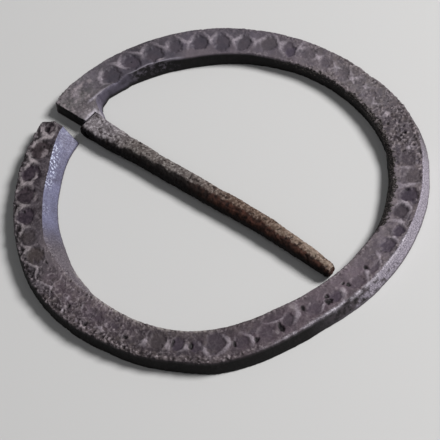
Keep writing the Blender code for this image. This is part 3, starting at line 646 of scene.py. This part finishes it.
def draw_spots(p, m):
    """Pits, hollows, pale patches, folds and cracks."""
    m.pit = spotted(p, PITS, 1.05, weighed=False) * p.top
    m.hollow = spotted(p, HOLLOWS, 1.2) * p.top
    m.pale = spotted(p, BLOTCHES, 1.25, 1.3) * p.top
    creased, frayed = p.along(CREASED), 0.15 * np.abs(p.ragged)
    fold = np.abs(p.lumps(1.5, 113, 2, 0.6)) + frayed
    crack = np.abs(p.lumps(1.9, 119, 2, 0.6)) + frayed
    m.fold = smooth(0.13, 0.02, fold) * creased * p.top * (1 - m.cell)
    m.crack = smooth(0.1, 0.01, crack) * creased * p.top * (1 - 0.7 * m.cell) * (1 - m.fold) * (1 - m.rim)


def draw_grit(p, m):
    """Grit, small pits and grains, thickest along the flaked edges."""
    m.slope = p.inner * p.past(-86, -97) * (1 - p.past(-116, -134)) * smooth(0.06, 0.25, p.z)
    m.dim = p.along(INNER_DARK) * p.nearer(27.6, 26.9, 0.35) * p.top * (1 - m.cell)
    flaked = hump(p.from_outer + 0.4, 0.65) * p.past(-36, -52)
    grit = p.along(GRIT) + 0.45 * p.edge_out + (0.7 - 0.4 * p.past(-102, -116)) * flaked
    grit = clamp(grit + 0.45 * p.edge_in * (p.azimuth < 125), 0, 1.35)
    patchy = clamp(0.85 + 0.9 * p.lumps(1.3, 45, 2), 0.25, 1.5)
    m.grit = grit * (1 - 0.75 * m.cell) * (1 - 0.6 * m.dim) * patchy
    shown = np.maximum(p.top, 0.9 * m.slope)
    shown = np.maximum(shown, 0.8 * p.inner * p.past(-142, -126) * p.past(-100, -116))
    small = clamp((noise(p.points, 0.42, 61) - 0.36 + 0.1 * m.grit + 0.14 * flaked) * 6.0)
    small = small * clamp(1.3 * m.grit - 0.35)
    grains = clamp((noise(p.points, 0.36, 67) - 0.3) * 6.0) * clamp(1.2 * m.grit - 0.2) * (1 - small)
    m.small = small * (0.4 + 0.6 * shown) * (1 - p.under)
    m.grains = grains * (1 - p.under) * (0.3 + 0.7 * shown)


def draw_edges(p, m):
    """Painted highlights: the pale line along the inner edge, and the bright outer edge at the right."""
    # Painted highlight along the inner top edge.
    line = hump(p.from_inner - 0.16, 0.24) * p.past(139, 146) * p.top
    m.line = line * (1 - p.past(176, 179)) * clamp(0.85 + 0.4 * noise(p.points, 0.9, 81))
    # Painted highlight along the outer top edge at the right.
    edge = hump(p.from_outer + 0.14, 0.22) * smooth(1.8, 2.1, p.z) * (0.55 + 0.45 * p.past(-26, -16))
    m.edge = edge * p.past(-42, -26) * (1 - p.past(12, 22)) * clamp(0.66 + 0.9 * noise(p.points, 0.8, 82))


def draw_sides(p, m):
    """The bevels, the batter and the walls in the dark: the lower bevel and the batter painted lighter
    where they face the light, painted shadow on the facet, and painted shade on the walls.
    """
    # The lavender bevel: bluish patina, painted lighter because it faces the light.
    m.bevel = p.inner * p.past(-116, -134) * smooth(0.1, 0.4, p.z)
    m.spark = m.bevel * smooth(1.1, 1.7, p.z) * p.along(GLINTS)
    m.facet = p.inner * p.past(140, 149) * smooth(0.25, 1.2, p.z)
    # Painted shadow on the facet below azimuth about 160.
    m.shadow = 1 - smooth(157, 166, p.azimuth + 5.0 * p.lumps(2.0, 91, 2))
    # The batter: lilac patina painted pale where it faces the light; its dark patches spread into painted
    # shade towards azimuth -22.
    m.batter = p.outer * p.past(-30, -12) * (1 - p.past(38, 54)) * smooth(0.05, 0.5, p.z)
    m.patches = smooth(0.25, 0.0, p.lumps(1.4, 93, 3) + 0.035 * (p.azimuth + 7.0)) * m.batter
    m.side = (p.outer + p.inner) * (1 - p.top) * (1 - m.slope)
    # Painted shade on the walls that face away from the light.
    shaded_walls = p.outer * p.past(-5, -25) + p.inner * p.past(10, 25) * (1 - m.bevel) * (1 - m.slope)
    m.shade = shaded_walls * (1 - p.top)
    m.under = p.under


def draw_wear(p, m):
    """Dirt darkened with painted shade, crust and pale wear along the inner edge."""
    # The dark band along the worn inner edge: partly dirt, partly painted shade where the edge slopes away
    # from the light.
    reach = p.along(WORN_REACH) + 0.75 * p.lumps(0.75, 95, 2) + 0.25 * noise(p.points, 0.35, 96)
    worn = smooth(0.1, -0.1, p.from_inner - reach) * p.past(12, 16) * p.past(112, 100) * (1 - p.under)
    m.worn = worn * smooth(0.9, 1.7, p.z + 0.5 * p.ragged)
    crust = p.lumps(0.7, 83, 3) + 0.55 * p.edge_in + 0.35 * p.edge_out - 0.3 * m.cell
    crust = p.along(SANDY) * p.top * smooth(-0.05, 0.45, crust)
    m.crust = crust * (1 - 0.85 * m.cell) * (1 - 0.8 * m.dim)
    cream = hump(p.from_inner - 0.2, 0.2) * p.past(-46, -54) * p.past(-98, -88)
    cream = clamp(cream + m.slope * smooth(1.3, 0.5, p.z) * p.past(-112, -104))
    m.cream = cream * smooth(-0.15, 0.25, p.lumps(0.5, 87, 2))


def draw_lug(p, m):
    """Painted highlights on the lip and the bright crest over the hinge."""
    lip = smooth(-24.25, -23.85, p.x + 0.25 * p.ragged) * smooth(-2.3, -1.6, p.y)
    lip = lip * (1 - smooth(0.35, 0.75, p.y)) * (1 - 0.4 * smooth(-23.2, -22.6, p.x))
    lip = lip * (p.z > 1.9) * (p.x < -21.5)
    shore = smooth(-25.4, -24.6, p.x + p.ragged) * smooth(-2.6, -2.0, p.y) * (1 - smooth(1.0, 1.8, p.y))
    m.lip = clamp(lip + 0.15 * shore * p.top * (p.x < -23.0))
    crest = hump(p.x + 23.8 + 0.4 * p.ragged, 0.24) * smooth(-1.9, -0.5, p.y) * clamp(0.8 + 0.9 * p.ragged)
    m.crest = crest * (1 - smooth(0.4, 0.9, p.y)) * p.top * (p.x < -20)


def draw_tints(p, m):
    """The dark fields by the edges, and the metal's broad changes of colour and brightness."""
    beyond = p.nearer(28.5, 29.1, 0.5) * p.past(-102, -112) * p.top
    m.dim = np.maximum(m.dim, 0.9 * beyond * (1 - m.cell) * (1 - m.rim))
    m.light = p.along(INNER_PALE) * p.nearer(26.9, 26.3, 0.3) * p.top * (1 - m.cell)
    m.olive = p.along(OLIVE) * p.top * (0.6 + 0.5 * p.lumps(2.2, 99, 2))
    m.lower = p.past(-100, -122)
    m.right = p.past(-100, -80) * p.past(60, 44)
    m.pink = p.past(12, -8) * p.past(-118, -104)
    m.lilac = p.past(95, 125) * (1 - p.past(172, 180)) * 0.8
    dark = 1 - p.along(OUTER_DARK) * smooth(27.8, 28.8, p.radius)
    m.tone = p.along(TONE) * dark * (1.0 + (0.25 + 0.35 * p.along(CREASED)) * p.lumps(1.9, 103, 2))


def ring_masks(points, sides):
    """How far the relief moves each vertex, and the masks that the colours follow."""
    p, m = Band(points, sides), SimpleNamespace()
    p.edge_out, p.edge_in = hump(p.from_outer + 0.35, 0.5) * p.top, hump(p.from_inner - 0.3, 0.5) * p.top
    dish = draw_cells(p, m)
    gap = smooth(-0.16, 0.1, p.lumps(0.85, 125, 2, 0.7)) * p.nearer(28.3, 28.9, 0.4)
    gap = gap * p.past(-100, -118) * p.top * (1 - m.cell) * (1 - m.rim)
    for draw in (draw_spots, draw_grit, draw_edges, draw_sides, draw_wear, draw_lug, draw_tints):
        draw(p, m)
    m.gap = gap * (1 - 0.7 * m.grains)
    move = -CELL_DEPTH * dish + RIM_HEIGHT * m.rim + 0.06 * m.fold - 0.08 * m.crack - 0.06 * gap
    move = move - spotted(p, PITS, 1.05) * p.top - 0.1 * m.hollow + 0.04 * m.pale
    rough = 0.045 * p.lumps(1.7, 53, 3) + (0.018 + 0.06 * m.grit) * p.lumps(0.42, 41, 2, 0.7)
    move += rough - 0.1 * m.small + 0.05 * m.grains
    move += 0.05 * p.lumps(5.0, 71, 2) + 0.04 * p.lumps(1.0, 73, 2) * p.past(168, 176) * p.top
    broken = 1.4 * p.past(-40, -60) + p.past(178, 183) + p.past(75, 62) * p.past(30, 45)
    move += 0.16 * p.edge_out * clamp(broken, 0, 1.4) * noise(points, 0.8, 79)
    move += 0.05 * m.line + 0.05 * m.edge
    return move, vars(m)


@contextlib.contextmanager
def editing(mesh):
    """The mesh as a bmesh, written back afterwards."""
    bm = bmesh.new()
    bm.from_mesh(mesh)
    yield bm
    bm.to_mesh(mesh)
    bm.free()


def set_masks(mesh, masks):
    for key, values in masks.items():
        attribute = mesh.attributes.new(key, "FLOAT", "POINT")
        attribute.data.foreach_set("value", np.ascontiguousarray(values, dtype=np.float32))


def add_object(name, data):
    item = bpy.data.objects.new(name, data)
    bpy.context.scene.collection.objects.link(item)
    return item


def write_mesh(name, verts, faces, masks):
    mesh = bpy.data.meshes.new(name)
    mesh.from_pydata(((verts + np.array(CENTRE)) * MM).tolist(), [], faces)
    mesh.update()
    set_masks(mesh, masks)
    with editing(mesh) as bm:
        bmesh.ops.recalc_face_normals(bm, faces=bm.faces)
    mesh.shade_smooth()
    return add_object(name, mesh)


def tube_faces(stations, sides, start=0):
    faces = []
    for low in range(start, start + (stations - 1) * sides, sides):
        high = low + sides
        for side in range(sides):
            after = (side + 1) % sides
            faces.append((low + side, high + side, high + after, low + after))
    return faces


def end_cap(loop, loop_ids, first_id, loops, depth, inward, seed, flip):
    """Concentric loops across an end, roughened inward: new vertices and faces."""
    middle = loop.mean(axis=0)
    verts, faces = [], []
    ids = list(loop_ids)
    for level in range(1, loops + 1):
        share = level / (loops + 1)
        ring = loop + (middle - loop) * share
        rough = layered(ring, 0.7, seed, 3) * depth * min(1.0, 3 * share)
        before, ids = ids, [first_id + len(verts) + side for side in range(len(loop))]
        verts.extend(ring + np.outer(rough, inward))
        faces += zip(before, before[1:] + before[:1], ids[1:] + ids[:1], ids)
    faces += zip(ids, ids[1:] + ids[:1], [first_id + len(verts)] * len(ids))
    verts.append(middle)
    return verts, [face if not flip else face[::-1] for face in faces]


def close_tube(points, start, first, last):
    """A tube's faces with both ends closed; an end is its loops, depth, inward direction and seed."""
    stations, sides = points.shape[:2]
    verts = points.reshape(-1, 3)
    faces = tube_faces(stations, sides, start)
    for station, end in ((0, first), (stations - 1, last)):
        ids = [start + station * sides + side for side in range(sides)]
        new, more = end_cap(points[station], ids, start + len(verts), *end, flip=station > 0)
        verts = np.vstack([verts, new])
        faces += more
    return verts, faces


def extend(masks, count, **values):
    """Give this many new vertices these values, and 0 in every other mask."""
    for key, mask in masks.items():
        masks[key] = np.concatenate([mask.reshape(-1), np.full(count - mask.size, values.get(key, 0.0))])


def make_ring():
    azimuth = ring_stations()
    radius, height, sides = ring_grid(azimuth)
    points = ring_points(azimuth, radius, height)
    move, masks = ring_masks(points, sides)
    x, y, _ = np.moveaxis(points, -1, 0)
    by_eye = (x < EYE_SIDE[0]) & (y > EYE_SIDE[1]) & (y < EYE_SIDE[2]) & (sides == INNER)
    points = points + grid_normals(points) * np.where(by_eye, EYE_SIDE_RELIEF * move, move)[..., None]
    points[..., 2] = np.maximum(points[..., 2], 0.0)
    last_seed = 97 + len(azimuth) - 1
    verts, faces = close_tube(points, 0, (6, 0.16, (0, 1, 0), 97), (6, 0.16, (0, -1, 0), last_seed))
    # The end faces and the neck stub take painted shade too.
    extend(masks, len(verts), side=1.0, shade=1.0, grit=0.9, tone=0.7)
    neck_verts, neck_faces = neck_shell(len(verts))
    verts = np.vstack([verts, neck_verts])
    extend(masks, len(verts), side=1.0, shade=0.8, grit=0.7, tone=0.7)
    return write_mesh("ring_look", verts, faces + neck_faces, masks)


def neck_shell(start):
    """The stub of the ring's neck, rooted in the lug, with a rough broken tip."""
    radius, root, tip = NECK
    turn = np.linspace(0, math.tau, NECK_SIDES, endpoint=False)
    y = np.linspace(root, tip, NECK_STATIONS)[:, None] * np.ones(turn.shape)
    size = radius * (1 - 0.25 * smooth(tip + 0.25, tip, y))
    points = np.stack([HINGE_X + size * np.cos(turn), y, HINGE_Z + size * np.sin(turn)], axis=-1)
    points[..., 1] += 0.05 * noise(points, 0.4, 131) * smooth(tip + 0.5, tip, points[..., 1])
    return close_tube(points, start, (1, 0.0, (0, 1, 0), 141), (3, 0.06, (0, -1, 0), 139))


def pin_row(distance):
    """Middle, half width, half height and squareness at a distance from the hinge axis."""
    at, *columns = zip(*PIN_SECTIONS)
    rows = range(len(at))
    row = np.interp(distance, at, rows)
    row = np.floor(row) + smooth(0, 1, row % 1)
    middle, half_width, half_height, power = (np.interp(row, rows, column) for column in columns)
    if distance < 0:
        half_height *= max(1 - (-distance / EYE_BACK) ** EYE_POWER, 0) ** (1 / EYE_POWER)
    return middle, half_width, max(half_height, 0.02), power


def rounded_section(half_width, half_height, power, sides):
    """Equally spaced points round a section between an ellipse and a rectangle."""
    turn = np.linspace(0, math.tau, 721)
    wide = np.sign(np.cos(turn)) * np.abs(np.cos(turn)) ** (2.0 / power) * half_width
    high = np.sign(np.sin(turn)) * np.abs(np.sin(turn)) ** (2.0 / power) * half_height
    step = np.concatenate([[0], np.cumsum(np.hypot(np.diff(wide), np.diff(high)))])
    wanted = np.linspace(0, step[-1], sides, endpoint=False)
    return np.interp(wanted, step, wide), np.interp(wanted, step, high)


def pin_grid():
    back = -EYE_BACK * np.cos(np.linspace(0.04, math.pi / 2, 22))
    shank = np.linspace(0, PIN_SECTIONS[-1][0], PIN_STATIONS)[1:]
    rows = []
    for distance in np.concatenate([back, shank]):
        middle, *section = pin_row(distance)
        wide, high = rounded_section(*section, PIN_SIDES)
        x = np.full(PIN_SIDES, HINGE_X + distance)
        rows.append(np.stack([x, middle + wide, HINGE_Z + high], axis=-1))
    return np.array(rows)


def pin_pits(points):
    return clamp((noise(points, 0.5, 173) - 0.36) * 4.0)


def pin_masks(points):
    """Masks from position alone, so that they can be taken after the bore is cut."""
    x, y, z = np.moveaxis(points, -1, 0)
    along = x - HINGE_X
    at, middles, widths, *_ = zip(*PIN_SECTIONS)
    across = (y - np.interp(along, at, middles)) / np.maximum(np.interp(along, at, widths), 0.3)
    high = (z - HINGE_Z) / 1.25
    ragged = 0.22 * layered(points, 1.3, 151, 2) + 0.18 * layered(points, 0.4, 153, 2)
    # Painted shade: the flank below the lit top is darkened, and darker still low on the side away from the
    # light.
    border = knots(along, PIN_BORDER)
    lit = smooth(border - 0.16, border + 0.16, across + ragged) * smooth(0.1, 0.65, high + ragged)
    return {
        "dark": 1 - lit,
        "deep": smooth(-0.3, -0.68, across + ragged) * (1 - smooth(0.25, 0.8, high)),
        "crust": smooth(0.05, 0.5, layered(points, 0.42, 163, 2, 0.8) + 0.12),
        "tip": smooth(17.0, 29.0, along),
        "end": smooth(33.0, 39.0, along),
        "head": 1 - smooth(2.0, 9.0, along),
        "pit": pin_pits(points),
    }


def make_pin():
    points = pin_grid()
    free = smooth(1.5, 4.0, points[..., 0] - HINGE_X)
    rough = 0.09 * layered(points, 2.6, 181, 3) + 0.075 * layered(points, 0.45, 191, 2, 0.8)
    rough -= 0.08 * pin_pits(points)
    points = points + grid_normals(points) * ((0.18 + 0.82 * free) * rough - 0.02)[..., None]
    points[..., 2] = np.maximum(points[..., 2], 0.0)
    points[..., 2] -= 0.5 * np.maximum(points[..., 2] - PIN_CEILING, 0.0)
    last_seed = 211 + len(points) - 1
    verts, faces = close_tube(points, 0, (5, 0.0, (-1, 0, 0), 211), (5, 0.16, (1, 0, 0), last_seed))
    pin = write_mesh("pin_look", verts, faces, {})
    pin.data = bored(pin)
    where = np.array([corner.co for corner in pin.data.vertices], float) / MM - np.array(CENTRE)
    set_masks(pin.data, pin_masks(where))
    pin.data.shade_smooth()
    pin.data.set_sharp_from_angle(angle=math.radians(50))
    pin.data.materials.clear()
    return pin


def bored(pin):
    """The pin's mesh with the eye's bore cut through it, and no slivers left by the cut."""
    cutter = add_object("bore", bpy.data.meshes.new("bore"))
    with editing(cutter.data) as bm:
        bmesh.ops.create_cone(
            bm, cap_ends=True, segments=BORE_SIDES, depth=BORE_LENGTH * MM,
            radius1=BORE_RADIUS * MM, radius2=BORE_RADIUS * MM,
            matrix=Matrix.Translation(Vector(HINGE_M)) @ Matrix.Rotation(math.pi / 2, 4, "X"))
    modifier = pin.modifiers.new("bore", "BOOLEAN")
    modifier.operation = "DIFFERENCE"
    modifier.solver = "EXACT"
    modifier.object = cutter
    graph = bpy.context.evaluated_depsgraph_get()
    cut = bpy.data.meshes.new_from_object(pin.evaluated_get(graph))
    pin.modifiers.clear()
    bpy.data.objects.remove(cutter, do_unlink=True)
    with editing(cut) as bm:
        bmesh.ops.remove_doubles(bm, verts=bm.verts, dist=SLIVER * MM)
        bmesh.ops.dissolve_degenerate(bm, edges=bm.edges, dist=SLIVER * MM)
        bmesh.ops.triangulate(bm, faces=[face for face in bm.faces if len(face.verts) > 4])
    return cut


def linear(colour):
    """A colour given as screen values from 0 to 255."""
    shares = [value / 255.0 for value in colour]
    return (*(v / 12.92 if v <= 0.04045 else ((v + 0.055) / 1.055) ** 2.4 for v in shares), 1.0)


# How a frayed edge follows the fine grain: from, to, and the shares at both.
FRAYED = (0.34, 0.58, 0.55, 1.0)


class Shader:
    """A material whose colour is painted in layers, each a share and a colour.

    A value is a socket, a mask's name, a number, or a colour as three screen values.
    """

    def __init__(self, name):
        self.material = bpy.data.materials.new(name)
        self.material.use_nodes = True
        self.tree = self.material.node_tree
        self.surface = self.tree.nodes["Principled BSDF"]
        self.place = self.tree.nodes.new("ShaderNodeTexCoord").outputs["Object"]

    def feed(self, node, values):
        for key, value in values.items():
            if isinstance(value, str):
                value = self.add("Attribute", {}, "Fac", attribute_name=value)
            if isinstance(value, bpy.types.NodeSocket):
                self.tree.links.new(value, node.inputs[key])
            else:
                node.inputs[key].default_value = linear(value) if isinstance(value, tuple) else value

    def add(self, kind, values, output=0, **settings):
        node = self.tree.nodes.new("ShaderNode" + kind)
        for name, setting in settings.items():
            setattr(node, name, setting)
        self.feed(node, values)
        return node.outputs[output]

    def grain(self, size, detail=4.0, rough=0.6):
        """Noise about 0.5 with features of this size in millimetres."""
        values = {"Scale": 1.0 / (size * MM), "Detail": detail, "Roughness": rough, "Vector": self.place}
        return self.add("TexNoise", values, "Fac")

    def ramp(self, value, low, high, out_low=0.0, out_high=1.0):
        values = {"From Min": low, "From Max": high, "To Min": out_low, "To Max": out_high, "Value": value}
        return self.add("MapRange", values, "Result")

    def times(self, first, second):
        return self.add("Math", {0: first, 1: second}, operation="MULTIPLY")

    def mix(self, share, first, second):
        return self.add("Mix", {0: share, 6: first, 7: second}, 2, data_type="RGBA")

    def blend(self, value, low, high, first, second):
        return self.mix(self.ramp(value, low, high), first, second)

    def paint(self, share, colour, strength=None):
        """Lay a colour over the rest, weakened by a number or by a ramp of the fine grain."""
        if isinstance(strength, tuple):
            strength = self.ramp(self.fine, *strength)
        if strength is not None:
            share = self.times(share, strength)
        self.colour = self.mix(share, self.colour, colour)

    def finish(self, rough, metallic, specular, height, strength, distance):
        values = {"Height": height, "Strength": strength, "Distance": distance * MM}
        normal = self.add("Bump", values, "Normal")
        self.feed(self.surface, {"Base Color": self.colour, "Roughness": rough, "Normal": normal})
        self.feed(self.surface, {"Metallic": metallic, "Specular IOR Level": specular})
        return self.material


def paint_patina(s):
    """The band's own colour, and the cells."""
    s.colour = s.blend(s.broad, 0.35, 0.65, (99, 90, 102), (111, 101, 108))
    s.paint("lilac", (102, 95, 109))
    s.paint("pink", (114, 98, 109))
    s.paint("olive", (109, 108, 106))
    s.paint(s.ramp(s.medium, 0.36, 0.66, 0.0, 0.35), (84, 77, 84))
    s.colour = s.add("VectorMath", {0: s.colour, "Scale": "tone"}, operation="SCALE")
    s.paint("light", (107, 98, 105))
    s.paint("dim", s.mix("lower", (73, 69, 79), s.blend(s.medium, 0.4, 0.6, (48, 41, 47), (82, 75, 81))))
    upper = s.blend(s.broad, 0.38, 0.62, (64, 60, 69), (74, 67, 75))
    lower = s.blend(s.medium, 0.4, 0.6, (33, 25, 31), (62, 52, 58))
    right = s.blend(s.broad, 0.38, 0.62, (50, 43, 51), (62, 54, 61))
    s.paint("cell", s.mix("right", s.mix("lower", upper, lower), right))
    s.paint("purple", (60, 48, 70), 0.55)
    s.paint("brown", (82, 74, 68), 0.55)


def paint_marks(s):
    """Hollows, folds, grit, crust, pale patches and the ridges between the cells."""
    s.paint("hollow", (50, 43, 56), (0.35, 0.6, 1.0, 0.6))
    s.paint("fold", (146, 136, 142), (0.36, 0.58, 0.25, 0.75))
    s.paint("crack", (58, 49, 54), (0.64, 0.42, 0.2, 0.7))
    s.paint("grit", (147, 136, 142), (0.55, 0.66, 0.0, 0.6))
    s.paint("grit", (50, 43, 46), (0.45, 0.35, 0.0, 0.6))
    s.paint("crust", (133, 122, 119), 0.65)
    s.paint("grains", (152, 142, 147), 0.75)
    s.paint("small", (38, 31, 34), 0.85)
    s.paint("gap", (20, 14, 17), (0.62, 0.46, 0.6, 1.0))
    s.paint("pale", (151, 141, 146), FRAYED)
    s.paint("rim", s.mix("lower", (165, 156, 165), (180, 170, 174)), FRAYED)
    # Painted highlight along the inner top edge.
    s.paint("line", (164, 158, 171), (0.34, 0.58, 0.75, 1.0))


def paint_sides(s):
    """The outer batter, the two bevels, and the walls in the dark: painted light on the batter and the
    lower bevel, painted shadow on the facet and painted shade on the walls.
    """
    broad, medium, fine = s.broad, s.medium, s.fine
    s.paint("side", (72, 65, 70))
    # The batter: lilac patina painted pale where it faces the light, then dark patches that spread into
    # painted shade.
    s.paint("batter", s.blend(fine, 0.4, 0.62, (100, 93, 105), (180, 173, 186)))
    s.paint("patches", s.blend(medium, 0.42, 0.58, (24, 19, 21), (78, 70, 76)))
    # Painted highlight along the outer top edge at the right.
    s.paint("edge", s.blend(fine, 0.42, 0.6, (128, 122, 130), (205, 199, 210)))
    s.paint("slope", s.blend(fine, 0.42, 0.58, (70, 64, 71), (124, 117, 124)), 0.6)
    s.paint("cream", (150, 143, 141))
    # Painted shade: near-black colour on the walls that face away from the light.
    s.paint("shade", s.blend(medium, 0.52, 0.66, (10, 8, 9), (32, 27, 29)))
    # The facet: lilac where lit, painted shadow where it turns from the light.
    lilac = s.blend(broad, 0.4, 0.6, (74, 69, 82), (98, 93, 108))
    shadow = s.blend(medium, 0.5, 0.64, (16, 13, 16), (84, 79, 88))
    s.paint("facet", s.mix("shadow", lilac, shadow))
    # The lavender bevel: bluish patina, painted lighter because it faces the light.
    bevel = s.blend(broad, 0.4, 0.62, (82, 80, 101), (99, 99, 125))
    s.paint("bevel", s.mix(s.ramp(fine, 0.46, 0.6, 0.0, 0.45), bevel, (136, 136, 162)))
    s.paint("spark", (214, 220, 244), s.ramp(s.grain(0.36, 3.0), 0.52, 0.58))


def ring_material():
    s = Shader("ring_patina")
    s.broad, s.medium, s.fine = s.grain(2.2), s.grain(0.7), s.grain(0.2, 4.0, 0.7)
    paint_patina(s)
    paint_marks(s)
    paint_sides(s)
    # Dark band along the inner edge: dirt with painted shade, flecked with pale grains.
    s.paint("worn", s.blend(s.fine, 0.53, 0.64, (18, 13, 14), (116, 108, 106)))
    # Painted highlights on the lip and the crest over the hinge.
    s.paint("lip", (168, 162, 170), FRAYED)
    s.paint("crest", (206, 200, 209), (0.34, 0.58, 0.3, 0.9))
    s.paint("pit", (13, 7, 12))
    s.paint("under", (84, 76, 78), 0.6)
    rough = s.ramp(s.medium, 0.3, 0.7, 0.5, 0.68)
    for mask, change in (("bevel", -0.1), ("crust", 0.25), ("shade", 0.2)):
        rough = s.add("Math", {0: rough, 1: s.times(mask, change)}, operation="ADD")
    height = s.add("Math", {0: s.times(s.medium, 0.6), 1: s.fine}, operation="ADD")
    return s.finish(rough, 0.15, 0.35, height, 0.5, 0.1)


def pin_material():
    s = Shader("pin_corrosion")
    medium, s.fine = s.grain(0.8), s.grain(0.22, 4.0, 0.7)
    head = s.blend(medium, 0.35, 0.65, (92, 86, 90), (126, 120, 124))
    shank = s.blend(medium, 0.35, 0.65, (70, 63, 62), (106, 99, 97))
    brown = s.blend(medium, 0.38, 0.62, (66, 49, 41), (94, 78, 68))
    tip = s.blend(medium, 0.38, 0.62, (96, 78, 67), (134, 120, 108))
    s.colour = s.mix("head", shank, head)
    s.paint("tip", s.mix("end", brown, tip))
    grey = s.mix("head", (144, 138, 136), (166, 160, 165))
    cream = s.mix("end", (134, 117, 107), (156, 139, 129))
    s.paint("crust", s.mix("tip", grey, cream), (0.37, 0.55, 0.45, 1.0))
    s.paint(s.ramp(s.fine, 0.43, 0.33, 0.0, 0.7), (48, 39, 38))
    # Painted shade on the pin's flank, rust brown towards the tip, and deeper painted shade low on the
    # flank.
    rust = s.blend(medium, 0.4, 0.62, (30, 16, 13), (74, 46, 38))
    s.paint("dark", s.mix("tip", (12, 8, 8), rust), 0.95)
    s.paint("deep", (6, 4, 4), 0.95)
    s.paint("pit", (28, 20, 19), 0.8)
    height = s.add("Math", {0: s.times(medium, 0.5), 1: s.fine}, operation="ADD")
    return s.finish(s.ramp(medium, 0.3, 0.7, 0.7, 0.9), 0.05, 0.15, height, 0.7, 0.12)


def area_light(name, azimuth, elevation, distance, size, power, colour):
    data = bpy.data.lights.new(name, "AREA")
    data.shape = "DISK"
    data.size = size
    data.energy = power
    data.color = colour
    a, e = math.radians(azimuth), math.radians(elevation)
    away = Vector((math.cos(a) * math.cos(e), math.sin(a) * math.cos(e), math.sin(e)))
    item = add_object(name, data)
    item.location = away * distance
    item.rotation_mode = "QUATERNION"
    item.rotation_quaternion = away.to_track_quat("Z", "Y")


def make_stage():
    bpy.ops.mesh.primitive_plane_add(size=6.0, location=(0, 0, min(cad_low.z, 0.0)))
    floor = bpy.context.active_object
    floor.name = "floor"
    s = Shader("floor_pale")
    s.surface.inputs["Base Color"].default_value = (0.6, 0.6, 0.6, 1.0)
    s.surface.inputs["Roughness"].default_value = 0.9
    floor.data.materials.append(s.material)
    area_light("key", 52, 47, 0.6, 0.22, 4.3, (1.0, 0.99, 0.98))
    area_light("fill", -60, 60, 0.8, 0.6, 0.35, (0.96, 0.97, 1.0))
    world = bpy.data.worlds.new("studio")
    world.use_nodes = True
    background = world.node_tree.nodes["Background"].inputs
    background["Color"].default_value = (1, 1, 1, 1)
    background["Strength"].default_value = 0.12
    bpy.context.scene.world = world
    bpy.context.scene.view_settings.view_transform = "Standard"


def make_camera():
    data = bpy.data.cameras.new("camera")
    data.lens = CAMERA_LENS
    data.sensor_width = 36.0
    data.clip_start, data.clip_end = 0.01, 10.0
    camera = add_object("camera", data)
    back = -Vector(CAMERA_FORWARD).normalized()
    side = Vector(CAMERA_UP).cross(back).normalized()
    turn = Matrix((side, back.cross(side), back)).transposed()
    at = Vector((CENTRE[0], CENTRE[1], THICKNESS)) + Vector(CAMERA_AT)
    camera.matrix_world = Matrix.Translation(at * MM) @ turn.to_4x4()
    bpy.context.scene.camera = camera


make_camera()
make_stage()

ring = make_ring()
ring.data.materials.append(ring_material())
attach(ring, "ring")
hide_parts("ring")

pin = make_pin()
pin.data.materials.append(pin_material())
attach(pin, "pin")
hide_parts("pin")
